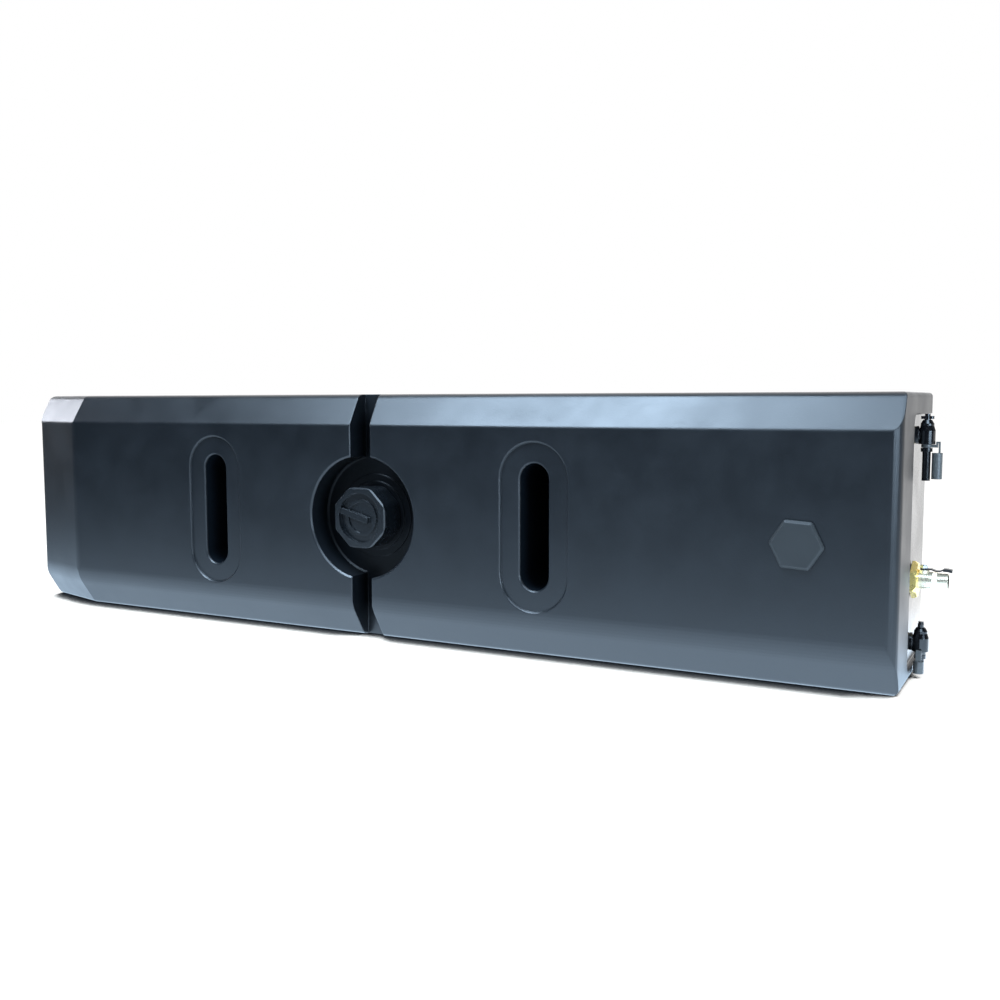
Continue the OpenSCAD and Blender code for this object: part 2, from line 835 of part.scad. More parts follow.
module valve_ball() {
    color([0.85, 0.86, 0.88])
        facing_end(valve_z)
            translate([0, 0, ball_z])
                difference() {
                    sphere(r = ball_r);
                    translate([0, 0, -far / 2])
                        cylinder(r = valve_way_r, h = far);
                    translate([-stem_tang / 2, ball_r - tang_depth - 2 * tang_clear, -far / 2])
                        cube([stem_tang, ball_r, far]);
                }
}

module valve_seat(from) {
    color(white_seal)
        facing_end(valve_z)
            difference() {
                translate([0, 0, from])
                    ring(chamber_r - seal_clear, valve_way_r, seat_t);
                translate([0, 0, ball_z])
                    sphere(r = ball_r + turn_clear);
            }
}

module valve_seat_inner() { valve_seat(seat_in); }
module valve_seat_outer() { valve_seat(seat_out); }

module valve_stem() {
    tang_low = ball_r - tang_depth;
    stem_low = ball_r + 2 * tang_clear;
    color([0.75, 0.75, 0.76])
        facing_end(valve_z)
            on_stem() {
                translate([0, 0, stem_low])
                    cylinder(r = stem_r, h = stem_top - stem_low);
                translate([-stem_tang / 2 + tang_clear, -stem_r + tang_inset, tang_low])
                    cube([stem_tang - 2 * tang_clear, 2 * (stem_r - tang_inset), stem_low + tang_clear - tang_low]);
            }
}

module valve_packing() {
    color(white_seal)
        facing_end(valve_z)
            on_stem()
                translate([0, 0, packing_low])
                    ring(gland_r - seal_clear, stem_r + turn_clear, gland_low - packing_low);
}

module valve_gland() {
    color(brass)
        facing_end(valve_z)
            on_stem()
                translate([0, 0, gland_low])
                    ring(gland_r - gland_clear, stem_r + turn_clear, lever_low - lever_gap - gland_low);
}

// Side view of the lever: level over the stem, a dip past the barrel and a level grip
dip = 1.0;
lever_side = [[-2.2, 0], [5.5, 0], [8.3, -dip], [11, -dip], [13.5, 0], [lever_l - 3, 0], [lever_l, -0.6]];

module lever_band(grow, from) {
    top = [for (i = [from:len(lever_side) - 1]) lever_side[i] + [0, lever_t + grow]];
    low = [for (i = [len(lever_side) - 1:-1:from]) lever_side[i] - [0, grow]];
    translate([-lever_w / 2 - grow, 0, 0])
        rotate([90, 0, 90])
            linear_extrude(lever_w + 2 * grow)
                polygon([for (p = concat(top, low)) [-p[0], p[1]]]);
}

module valve_lever() {
    color(rubber_black)
        facing_end(valve_z)
            on_stem()
                translate([0, 0, lever_low])
                    difference() {
                        lever_band(0, 0);
                        translate([0, 0, -far / 2])
                            cylinder(r = stem_r, h = far);
                    }
}

module valve_lever_sleeve() {
    color(rubber_black)
        facing_end(valve_z)
            on_stem()
                translate([0, 0, lever_low])
                    difference() {
                        lever_band(sleeve_t, sleeve_from);
                        lever_band(0, 0);
                    }
}

module valve_lever_nut() {
    color([0.75, 0.75, 0.76])
        facing_end(valve_z)
            on_stem()
                translate([0, 0, lever_low + lever_t])
                    difference() {
                        cylinder(r = nut_r, h = nut_t, $fn = 6);
                        translate([0, 0, -lap])
                            cylinder(r = stem_r, h = nut_t + 2 * lap);
                    }
}

module valve_insert() { facing_end(valve_z) color(brass) insert(valve_insert_r, valve_insert_l, valve_thread_r); }

tank_shell();
filler_cap();
cap_gasket();
hex_badge();
upper_tap_insert();
upper_tap_washer();
upper_tap_body();
upper_tap_plug();
upper_tap_plug_ring();
upper_tap_bonnet();
upper_tap_dust_cap();
lower_tap_insert();
lower_tap_washer();
lower_tap_body();
lower_tap_plug();
lower_tap_plug_ring();
lower_tap_bonnet();
lower_tap_dust_cap();
valve_insert();
valve_washer();
valve_body();
valve_end_piece();
valve_ball();
valve_seat_inner();
valve_seat_outer();
valve_stem();
valve_packing();
valve_gland();
valve_lever();
valve_lever_sleeve();
valve_lever_nut();
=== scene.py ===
import math

import bmesh
import bpy
from mathutils import Matrix, Vector


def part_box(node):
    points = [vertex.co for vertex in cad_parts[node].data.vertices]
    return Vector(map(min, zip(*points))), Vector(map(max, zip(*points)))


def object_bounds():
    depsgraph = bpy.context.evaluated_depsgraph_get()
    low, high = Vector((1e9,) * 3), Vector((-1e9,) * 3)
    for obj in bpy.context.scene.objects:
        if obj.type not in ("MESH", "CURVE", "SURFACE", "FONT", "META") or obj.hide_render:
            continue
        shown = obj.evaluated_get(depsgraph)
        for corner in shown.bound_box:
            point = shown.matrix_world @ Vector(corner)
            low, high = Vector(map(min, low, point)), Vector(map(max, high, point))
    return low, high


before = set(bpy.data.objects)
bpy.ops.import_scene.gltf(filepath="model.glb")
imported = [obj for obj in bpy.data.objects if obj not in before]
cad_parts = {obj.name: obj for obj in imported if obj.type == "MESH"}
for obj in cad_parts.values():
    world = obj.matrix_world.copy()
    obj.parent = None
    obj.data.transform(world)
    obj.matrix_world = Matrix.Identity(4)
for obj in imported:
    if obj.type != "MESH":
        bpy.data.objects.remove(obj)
CAD_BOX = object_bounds()

bl_info = {
    "name": "Vehicle water tank",
    "version": (1, 0, 0),
    "blender": (4, 5, 0),
    "location": "View3D > Sidebar > Water tank",
    "description": "Finishes the moulded tank, its cap, taps and ball valve, and sets the studio",
    "category": "Object",
}

MM = 0.001
WHITE = (1, 1, 1, 1)
BLACK = (0, 0, 0, 1)

# The filler's centre line
FILLER_X = -8 * MM

# Where the masks of the shell rise from 0 to 1, measured from the filler's centre line
HOLLOW_REACH = (320 * MM, 300 * MM)
SLOT_START = (80 * MM, 90 * MM)

# The same, measured inward from the part's own faces
HOLLOW_FROM_FRONT = (8 * MM, 20 * MM)
HOLLOW_FROM_BACK = (4 * MM, 10 * MM)
HOLLOW_FROM_BOTTOM = (14 * MM, 30 * MM)
HOLLOW_FROM_TOP = (13 * MM, 28 * MM)
SLOT_FROM_FRONT = (3 * MM, 5 * MM)
SLOT_FROM_ENDS = (40 * MM, 50 * MM)
POCKET_FROM_FRONT = (40 * MM, 50 * MM)
POCKET_BED = (6 * MM, 5 * MM)
POCKET_MOUTH = (1.5 * MM, 2.5 * MM)

# How the shell's gloss changes in its slots and on its end
SLOT_DULLING = 0.5
END_GLOSS = 0.10

# Noise between these values goes from one look of a surface to the other
PATCH_SPAN = (0.3, 0.7)

# The ball valve: bare brass as far as this from its outer end, where a paler tone that is partly a
# painted highlight takes over, and its outlet's bore, inside which shade is painted
COLLAR_BACK = 23 * MM
OUTLET_BORE = 5.6 * MM
BRASS_METALLIC = 0.75

RAY_KINDS = ("Is Camera Ray", "Is Glossy Ray", "Is Transmission Ray")

# What the part's gloss sees of the room, by the direction of the ray
ROOM_BACK = (-0.05, 0.6)
ROOM_DIM = 0.05
ROOM_RIGHT = (0.25, 0.55)
ROOM_RIGHT_GLOW = 0.15

# The floor: half its side, and how far it lies below the part
FLOOR_HALF = 8
FLOOR_GAP = 0.2 * MM

# Places on the floor where its look changes, and its glow at either side of the change
FLOOR_GLOW_X = (-1.3, 0.5)
FLOOR_GLOW_GAIN = (0.55, 1.36)
FLOOR_BEHIND_Y = (0.0, 0.30)
FLOOR_EYE_REACH = (0.5, 1.3)
FLOOR_EYE_GLOW = (0.84, 1.0)
# The painted contact shadow: its fade past the part's right end, the occlusion over which the
# floor goes from dark to white, and its dark colour
FLOOR_OPEN_X = (0.39, 0.43)
FLOOR_OPEN_GAIN = 0.25
FLOOR_CONTACT = (0.48, 0.62)
FLOOR_SHADE = (0.02, 0.02, 0.02, 1)
FLOOR_THIN = (0.34, 0.29, 0.24, 1)

# Each light's name, power, place, target, width, height and colour
LIGHTS = (
    ("overhead_light", "over_power", (-0.36, -0.75, 1.35), (0.12, 0.0, 0.15), 0.70, 0.9, "cool"),
    ("side_light", "side_power", (1.35, -0.82, 0.28), (0.3, 0.0, 0.15), 0.8, 0.26, "cool"),
    ("end_light", "end_power", (0.58, -0.70, 1.20), (0.2, 0.0, 0.1), 0.8, 0.5, "cool"),
    ("facet_light", "facet_power", (-1.75, 0.02, 0.60), (-0.4, -0.06, 0.2), 0.5, 0.35, "pale"),
)


# Sizes and colours that a user would change


def colour(name, description, value):
    return bpy.props.FloatVectorProperty(
        name=name, description=description, subtype="COLOR", size=3, min=0, max=1, default=value
    )


def share(name, description, value):
    return bpy.props.FloatProperty(
        name=name, description=description, subtype="FACTOR", min=0, max=1, default=value
    )


def length(name, description, value):
    return bpy.props.FloatProperty(
        name=name, description=description, subtype="DISTANCE", unit="LENGTH", min=0,
        precision=5, default=value,
    )


def power(name, description, value):
    return bpy.props.FloatProperty(
        name=name, description=description, unit="POWER", min=0, default=value
    )


def glow(name, description, value):
    return bpy.props.FloatProperty(
        name=name, description=description, min=0, max=20, default=value
    )


class TankFinish(bpy.types.PropertyGroup):
    shell_colour: colour("Shell", "Colour of the moulded tank", (0.0028, 0.0040, 0.0056))
    shell_roughness: share("Shell roughness", "How satin the moulding is", 0.36)
    pebble_size: length("Pebble", "Width of one bump of the mould's fine texture", 0.9 * MM)
    pebble_depth: length("Pebble depth", "Height of the mould's fine texture", 0.035 * MM)
    ripple_size: length("Ripple", "Width of the slow waves in the moulded walls", 75 * MM)
    ripple_depth: length("Ripple depth", "Height of the slow waves in the walls", 0.16 * MM)
    edge_radius: length("Edge radius", "Rounding of the moulding's small edges", 1.1 * MM)
    cap_colour: colour("Cap", "Colour of the filler cap", (0.0030, 0.0040, 0.0052))
    cap_roughness: share("Cap roughness", "How satin the filler cap is", 0.28)
    badge_colour: colour("Badge", "Colour of the bare badge", (0.0074, 0.0089, 0.0097))
    badge_roughness: share("Badge roughness", "How matt the badge is", 0.50)
    # Hollows: the strength of the painted shade that darkens the colour of the recess, the groove
    # and the slots, and of their lower specular level.
    hollow_shade_and_dulling: share(
        "Hollows", "How much duller the recess, the groove and the slots are moulded inside", 0.8
    )


class FittingFinish(bpy.types.PropertyGroup):
    tap_colour: colour("Taps", "Colour of the two small taps", (0.004, 0.004, 0.005))
    tap_roughness: share("Tap roughness", "How glossy the taps are", 0.16)
    dust_cap_colour: colour("Dust caps", "Colour of the soft dust caps", (0.095, 0.10, 0.10))
    rubber_colour: colour(
        "Rubber", "Colour of the washers, rings and gasket", (0.012, 0.012, 0.012)
    )
    brass_colour: colour("Brass", "Colour of the ball valve", (1.0, 0.77, 0.27))
    # The outlet's pale tone is partly a painted highlight: it stands in for the glare that washes
    # the brass tube out.
    outlet_tone_and_glare: colour(
        "Outlet", "Colour of the ball valve's pale outlet tube", (0.98, 0.90, 0.70)
    )
    brass_roughness: share("Brass roughness", "How polished the brass is", 0.26)
    steel_colour: colour("Steel", "Colour of the stem and its nut", (0.56, 0.57, 0.58))
    plating_colour: colour("Plating", "Colour of the plated ball", (0.80, 0.81, 0.83))
    seat_colour: colour(
        "Seats", "Colour of the ball's white seats and packing", (0.80, 0.80, 0.77)
    )
    lever_colour: colour(
        "Lever", "Colour of the painted lever and its sleeve", (0.008, 0.008, 0.009)
    )


class StudioSetup(bpy.types.PropertyGroup):
    camera_place: bpy.props.FloatVectorProperty(
        name="Camera", description="Place of the camera", subtype="TRANSLATION", unit="LENGTH",
        size=3, default=(0.5303, -0.8317, 0.2026),
    )
    camera_yaw: bpy.props.FloatProperty(
        name="Yaw", description="Turn of the camera to the left of straight ahead",
        subtype="ANGLE", default=math.radians(28.123),
    )
    camera_pitch: bpy.props.FloatProperty(
        name="Pitch", description="Tilt of the camera down from level", subtype="ANGLE",
        default=math.radians(5.195),
    )
    camera_roll: bpy.props.FloatProperty(
        name="Roll", description="Lean of the camera", subtype="ANGLE",
        default=math.radians(-0.122),
    )
    lens: bpy.props.FloatProperty(
        name="Lens", description="Focal length on a 36 mm sensor", unit="CAMERA", default=39.434
    )
    over_power: power("Overhead light", "Power of the large soft light above", 55)
    side_power: power("Side light", "Power of the soft light at the front right", 13)
    end_power: power("End light", "Power of the soft light above the fittings", 14)
    facet_power: power("Facet light", "Power of the small soft light at the far left", 6.4)
    cool: colour(
        "Cool light", "Colour of most lights and of the pale floor's reflection", (0.60, 0.79, 1.0)
    )
    pale: colour("Facet light colour", "Colour of the light at the far left", (0.86, 0.90, 1.0))
    near_glow: glow(
        "Near floor", "How bright the floor beside the object looks in its reflection", 3.15
    )
    back_glow: glow(
        "Surroundings", "How bright the far surroundings look in the object's reflection", 1.8
    )
    glow_fade: length(
        "Fade", "Distance over which the floor's reflection fades to a third", 0.45
    )
    # The reach of the painted contact shadow, which ambient occlusion draws.
    contact_reach: length(
        "Contact shadow", "Distance from the object at which the floor stops darkening", 30 * MM
    )
    fill: share("Fill", "Strength of the white surroundings as they light the object", 0.42)
    floor_colour: colour("Floor", "Colour of the pale floor", (0.86, 0.86, 0.86))


def setting(name):
    return getattr(bpy.context.scene, name)


# Materials


class Nodes:
    """Calls that add nodes to one tree and join them."""

    def __init__(self, tree):
        self.tree = tree

    def add(self, kind, sockets=None, **settings):
        made = self.tree.nodes.new(kind)
        for key, value in settings.items():
            setattr(made, key, value)
        for key, value in (sockets or {}).items():
            self.set(made.inputs[key], value)
        return made

    def set(self, socket, value):
        if isinstance(value, bpy.types.NodeSocket):
            self.tree.links.new(value, socket)
        else:
            socket.default_value = value

    def axes(self, vector):
        """The X, Y and Z of a vector."""
        split = self.add("ShaderNodeSeparateXYZ", {0: vector})
        return [split.outputs[axis] for axis in "XYZ"]

    def between(self, value, low, high, from_low=0.0, from_high=1.0, curve="LINEAR"):
        return self.add(
            "ShaderNodeMapRange",
            {"Value": value, "From Min": from_low, "From Max": from_high, "To Min": low,
             "To Max": high},
            interpolation_type=curve,
        ).outputs["Result"]

    def math(self, operation, a, b=0.0):
        return self.add("ShaderNodeMath", {0: a, 1: b}, operation=operation).outputs[0]

    def vector(self, operation, a, b=None):
        sockets = {0: a} if b is None else {0: a, 1: b}
        return self.add("ShaderNodeVectorMath", sockets, operation=operation).outputs[0]

    def measure(self, operation, a, b=None):
        """A length or a dot product, which a vector node gives as a number."""
        sockets = {0: a} if b is None else {0: a, 1: b}
        made = self.add("ShaderNodeVectorMath", sockets, operation=operation)
        return made.outputs["Value"]

    def mix(self, amount, a, b):
        return self.add("ShaderNodeMix", {0: amount, 6: a, 7: b}, data_type="RGBA").outputs[2]

    def blend(self, amount, a, b):
        return self.add("ShaderNodeMix", {0: amount, 2: a, 3: b}).outputs[0]

    def seen_directly(self):
        """1 for rays from the camera, a reflection or through glass, and 0 for light on things."""
        path = self.add("ShaderNodeLightPath").outputs
        seen = path[RAY_KINDS[0]]
        for kind in RAY_KINDS[1:]:
            seen = self.math("MAXIMUM", seen, path[kind])
        return path, seen


class Finish(Nodes):
    """One material with the node calls that its surface needs."""

    def __init__(self, name):
        self.material = bpy.data.materials.new(name)
        self.material.use_nodes = True
        super().__init__(self.material.node_tree)
        self.shader = self.tree.nodes["Principled BSDF"]
        self.place = self.add("ShaderNodeTexCoord").outputs["Object"]

    def shade(self, **sockets):
        for key, value in sockets.items():
            self.set(self.shader.inputs[key.replace("_", " ")], value)

    def noise(self, width, detail=3.0, rough=0.55, stretch=None):
        place = self.place
        if stretch:
            mapping = self.add("ShaderNodeMapping", {"Vector": place, "Scale": stretch})
            place = mapping.outputs["Vector"]
        sockets = {"Vector": place, "Scale": 1 / width, "Detail": detail, "Roughness": rough}
        return self.add("ShaderNodeTexNoise", sockets).outputs["Fac"]

    def bump(self, height, depth, normal):
        sockets = {"Height": height, "Strength": 1.0, "Distance": depth, "Normal": normal}
        return self.add("ShaderNodeBump", sockets).outputs["Normal"]

    def soft_edge(self, radius):
        """Normals turned over the small edges, as a moulding's or casting's own radius does."""
        return self.add("ShaderNodeBevel", {"Radius": radius}, samples=6).outputs["Normal"]

    def edge_wear(self, soft_normal, gain=3.0):
        """0 on the flats and up to 1 on the edges."""
        true_normal = self.add("ShaderNodeNewGeometry").outputs["Normal"]
        away = self.math("SUBTRACT", 1.0, self.measure("DOT_PRODUCT", soft_normal, true_normal))
        worn = self.add(
            "ShaderNodeMath", {0: away, 1: gain}, operation="MULTIPLY", use_clamp=True
        )
        return worn.outputs[0]


def rgba(value):
    return (*value, 1.0)


def lighter(value, times):
    return (*[min(1.0, x * times) for x in value], 1.0)


def inward(face, distances, step=1):
    """Places at distances from a face, with a step of 1 or -1 towards the inside."""
    return [face + step * distance for distance in distances]


def zone(f, *spans):
    """1 where all values are past their limits; a span is a value and the limits that it has."""
    inside = 1.0
    for value, *limits in spans:
        for start, end in limits:
            inside = f.math("MULTIPLY", inside, f.between(value, 0.0, 1.0, start, end))
    return inside


def hollow_masks(f):
    """The shell's hollows, its slots alone, and its right end.

    The first two are 1 inside, and the third is 1 on the pocket's floor and -1 on its rim.
    """
    x, y, z = f.axes(f.place)
    right, back, top = -CAD_BOX[0].x, CAD_BOX[1].y, CAD_BOX[1].z
    front = -back
    from_filler = f.math("ABSOLUTE", f.math("ADD", x, -FILLER_X))
    before_back = inward(back, HOLLOW_FROM_BACK, -1)
    hollow = zone(
        f, (from_filler, HOLLOW_REACH),
        (y, inward(front, HOLLOW_FROM_FRONT), before_back),
        (z, HOLLOW_FROM_BOTTOM, inward(top, HOLLOW_FROM_TOP, -1)))
    slot = zone(
        f, (from_filler, SLOT_START, HOLLOW_REACH),
        (y, inward(front, SLOT_FROM_FRONT), before_back),
        (z, SLOT_FROM_ENDS, inward(top, SLOT_FROM_ENDS, -1)))
    mouth = inward(right, POCKET_MOUTH, -1)
    pocket = zone(
        f, (x, inward(right, POCKET_BED, -1), mouth), (y, inward(front, POCKET_FROM_FRONT)))
    end_wall = f.math("SUBTRACT", pocket, zone(f, (x, mouth[::-1])))
    return hollow, slot, end_wall


def satin_moulding(name, tone, roughness, pebble, pebble_depth, ripple, ripple_depth, edge,
                   wear=0.25, shade_and_dulling=0.0):
    """Moulded plastic: a fine pebble, slow waves, patchy gloss and slightly worn edges, with
    painted shade in its hollows when asked.
    """
    f = Finish(name)
    soft = f.soft_edge(edge)
    waves = f.bump(f.noise(ripple, detail=1.0, rough=0.4), ripple_depth, soft)
    grain = f.add(
        "ShaderNodeTexVoronoi", {"Vector": f.place, "Scale": 1 / pebble}, feature="SMOOTH_F1"
    )
    normal = f.bump(grain.outputs["Distance"], pebble_depth, waves)
    normal = f.bump(f.noise(pebble * 0.55, detail=2.0), pebble_depth * 0.4, normal)
    patches = f.noise(38 * MM, detail=4.0)
    scratches = f.noise(7 * MM, detail=6.0, rough=0.7, stretch=(0.35, 1, 1))
    scuffs = f.between(scratches, 0.0, 1.0, 0.60, 0.80)
    edges = f.edge_wear(soft)
    base = f.mix(f.between(patches, 0.0, 1.0, *PATCH_SPAN), rgba(tone), lighter(tone, 1.35))
    base = f.mix(f.math("MULTIPLY", edges, wear), base, lighter(tone, 5.0))
    gloss = f.math(
        "ADD", f.between(patches, roughness - 0.045, roughness + 0.045, *PATCH_SPAN),
        f.math("MULTIPLY", scuffs, 0.05))
    f.shade(Base_Color=base, Roughness=gloss, Normal=normal, IOR=1.5)
    # Painted shade: in the recess, the groove and the slots the colour darkens and the specular
    # level drops; the slots also turn rougher, and the end pocket's floor smoother and its rim
    # rougher.
    if shade_and_dulling:
        hollow, slot, end_wall = hollow_masks(f)
        shade_and_dull = f.math("MULTIPLY", hollow, shade_and_dulling)
        level = f.math("MULTIPLY", f.between(shade_and_dull, 0.5, 0.05), f.math("SUBTRACT", 1.0, slot))
        gloss = f.math("ADD", gloss, f.math("MULTIPLY", slot, SLOT_DULLING))
        gloss = f.math("SUBTRACT", gloss, f.math("MULTIPLY", end_wall, END_GLOSS))
        # Painted shade: the colour falls towards 0.3 of its tone in the hollows.
        base = f.mix(shade_and_dull, base, lighter(tone, 0.3))
        f.shade(Base_Color=base, Roughness=gloss, Specular_IOR_Level=level)
    return f.material


def gloss_plastic(name, tone, roughness, edge):
    """Injection-moulded plastic: smooth, with faint flow marks and fine scratches."""
    f = Finish(name)
    soft = f.soft_edge(edge)
    normal = f.bump(f.noise(2.2 * MM, detail=2.0), 0.012 * MM, soft)
    scratches = f.noise(0.35 * MM, rough=0.6, stretch=(0.08, 1, 1))
    normal = f.bump(scratches, 0.004 * MM, normal)
    patches = f.noise(6 * MM)
    base = f.mix(f.math("MULTIPLY", f.edge_wear(soft), 0.2), rgba(tone), lighter(tone, 6.0))
    gloss = f.between(patches, roughness - 0.04, roughness + 0.06, *PATCH_SPAN)
    f.shade(Base_Color=base, Roughness=gloss, Normal=normal, IOR=1.5)
    return f.material


def soft_rubber(name, tone, roughness, through=0.0):
    """Soft rubber or vinyl: matt, with a fine even grain, and light through a share of it."""
    f = Finish(name)
    normal = f.bump(f.noise(0.4 * MM, detail=2.0), 0.012 * MM, f.soft_edge(0.25 * MM))
    dust = f.between(f.noise(3 * MM, detail=4.0), 0.0, 1.0, 0.45, 0.75)
    base = f.mix(dust, rgba(tone), lighter(tone, 1.5))
    gloss = f.between(dust, roughness, roughness + 0.12)
    f.shade(Base_Color=base, Roughness=gloss, Normal=normal, Transmission_Weight=through)
    return f.material


def turned_metal(name, tone, roughness, metallic=1.0, bore=None, plated=None):
    """Turned metal: fine tool rings and darker patches, with shade painted into any bore, and any
    paler end whose pale tone is partly a painted highlight.

    A bore is a point on its axis, which lies along X, and its radius; inside it the colour is
    painted near black. The plated argument is the X where the paler end starts and its tone.
    """
    f = Finish(name)
    soft = f.soft_edge(0.3 * MM)
    rings = f.noise(0.10 * MM, detail=1.0, rough=0.5, stretch=(1, 0.06, 0.06))
    normal = f.bump(rings, 0.006 * MM, soft)
    patches = f.between(f.noise(3.5 * MM, detail=5.0, rough=0.65), 0.0, 1.0, 0.42, 0.78)
    bright = rgba(tone)
    # Partly painted highlight: past the given X the colour turns to the paler tone.
    if plated:
        start, pale_and_glare_tone = plated
        x, _, _ = f.axes(f.place)
        bright = f.mix(f.between(x, 0.0, 1.0, start, start + 1 * MM), bright, rgba(pale_and_glare_tone))
    base = f.mix(f.math("MULTIPLY", patches, 0.15), bright, BLACK)
    gloss = f.between(patches, roughness, roughness + 0.10)
    if bore:
        axis, radius = bore
        across = f.vector("MULTIPLY", f.vector("SUBTRACT", f.place, axis), (0, 1, 1))
        from_axis = f.measure("LENGTH", across)
        outside = f.between(from_axis, 0.0, 1.0, radius - 0.2 * MM, radius)
        # Painted shade: inside the bore the colour drops to 4% of its tone.
        base = f.mix(outside, lighter(tone, 0.04), base)
        gloss = f.math("MAXIMUM", gloss, f.between(outside, 0.8, 0.0))
    f.shade(Base_Color=base, Metallic=metallic, Roughness=gloss, Normal=normal)
    return f.material


def dress(node_names, material):
    for name in node_names:
        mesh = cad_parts[name].data
        mesh.materials.clear()
        mesh.materials.append(material)


# Operators


class FinishShell(bpy.types.Operator):
    """Give the moulded tank its satin black surface"""

    bl_idname = "water_tank.finish_shell"
    bl_label = "Finish the shell"

    def execute(self, context):
        look = setting("tank_finish")
        dress(["tank_shell"], satin_moulding(
            "satin_tank_moulding", look.shell_colour, look.shell_roughness,
            pebble=look.pebble_size, pebble_depth=look.pebble_depth, ripple=look.ripple_size,
            ripple_depth=look.ripple_depth, edge=look.edge_radius, shade_and_dulling=look.hollow_shade_and_dulling))
        return {"FINISHED"}


class FinishCap(bpy.types.Operator):
    """Give the filler cap and its gasket their surfaces"""

    bl_idname = "water_tank.finish_cap"
    bl_label = "Finish the filler cap"

    def execute(self, context):
        look = setting("tank_finish")
        dress(["filler_cap"], satin_moulding(
            "satin_cap_moulding", look.cap_colour, look.cap_roughness, pebble=0.5 * MM,
            pebble_depth=0.012 * MM, ripple=14 * MM, ripple_depth=0.015 * MM, edge=0.3 * MM,
            wear=0.35))
        rubber = setting("fitting_finish").rubber_colour
        dress(["cap_gasket"], soft_rubber("gasket_rubber", rubber, 0.6))
        return {"FINISHED"}


class FinishBadge(bpy.types.Operator):
    """Give the bare six-sided badge its matt surface"""

    bl_idname = "water_tank.finish_badge"
    bl_label = "Finish the badge"

    def execute(self, context):
        look = setting("tank_finish")
        dress(["hex_badge"], satin_moulding(
            "matt_badge_plastic", look.badge_colour, look.badge_roughness, pebble=0.4 * MM,
            pebble_depth=0.012 * MM, ripple=20 * MM, ripple_depth=0.02 * MM, edge=1.2 * MM,
            wear=0.3))
        return {"FINISHED"}


class FinishTaps(bpy.types.Operator):
    """Give both small taps, their dust caps and seals their surfaces"""

    bl_idname = "water_tank.finish_taps"
    bl_label = "Finish the taps"

    def execute(self, context):
        look = setting("fitting_finish")
        gloss = gloss_plastic(
            "gloss_tap_plastic", look.tap_colour, look.tap_roughness, edge=0.35 * MM)
        rubber = soft_rubber("seal_rubber", look.rubber_colour, 0.55)
        soft_cap = soft_rubber("dust_cap_vinyl", look.dust_cap_colour, 0.32, through=0.25)
        for tap in ("upper_tap", "lower_tap"):
            dress([f"{tap}_{part}" for part in ("body", "plug", "bonnet")], gloss)
            dress([f"{tap}_washer", f"{tap}_plug_ring"], rubber)
            dress([f"{tap}_dust_cap"], soft_cap)
        return {"FINISHED"}


class FinishValve(bpy.types.Operator):
    """Give the ball valve, its lever and the moulded-in threads their surfaces"""

    bl_idname = "water_tank.finish_valve"
    bl_label = "Finish the ball valve"

    def execute(self, context):
        look = setting("fitting_finish")
        brass, outlet, polish = look.brass_colour, look.outlet_tone_and_glare, look.brass_roughness
        dress(["valve_gland", "valve_insert", "upper_tap_insert", "lower_tap_insert"],
              turned_metal("polished_brass", brass, polish, BRASS_METALLIC))
        collar_x = CAD_BOX[1].x - COLLAR_BACK
        # Partly painted highlight: past the collar the body takes the outlet's pale tone.
        dress(["valve_body"], turned_metal(
            "half_plated_brass", brass, polish, BRASS_METALLIC, plated=(collar_x, outlet)))
        low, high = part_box("valve_end_piece")
        # The outlet piece: the pale tone that is partly a painted highlight, with painted shade
        # inside its bore.
        dress(["valve_end_piece"], turned_metal(
            "pale_outlet_metal", outlet, polish, BRASS_METALLIC,
            bore=((low + high) / 2, OUTLET_BORE)))
        dress(["valve_stem", "valve_lever_nut"],
              turned_metal("bright_steel", look.steel_colour, 0.28))
        dress(["valve_ball"], turned_metal("plated_ball", look.plating_colour, 0.10))
        dress(["valve_seat_inner", "valve_seat_outer", "valve_packing"],
              soft_rubber("white_seat", look.seat_colour, 0.42))
        dress(["valve_lever"],
              gloss_plastic("lever_paint", look.lever_colour, 0.30, edge=0.25 * MM))
        dress(["valve_lever_sleeve"], soft_rubber("sleeve_vinyl", look.lever_colour, 0.40))
        dress(["valve_washer"], soft_rubber("valve_seal_rubber", look.rubber_colour, 0.55))
        return {"FINISHED"}


def soft_light(name, watts, place, target, wide, high, tint):
    light = bpy.data.lights.new(name, "AREA")
    light.color = tint
    light.shape = "RECTANGLE"
    light.size, light.size_y = wide, high
    light.energy = watts
    made = bpy.data.objects.new(name, light)
    bpy.context.scene.collection.objects.link(made)
    made.location = place
    ahead = Vector(target) - Vector(place)
    made.rotation_euler = ahead.to_track_quat("-Z", "Y").to_euler()
    made.visible_camera = False


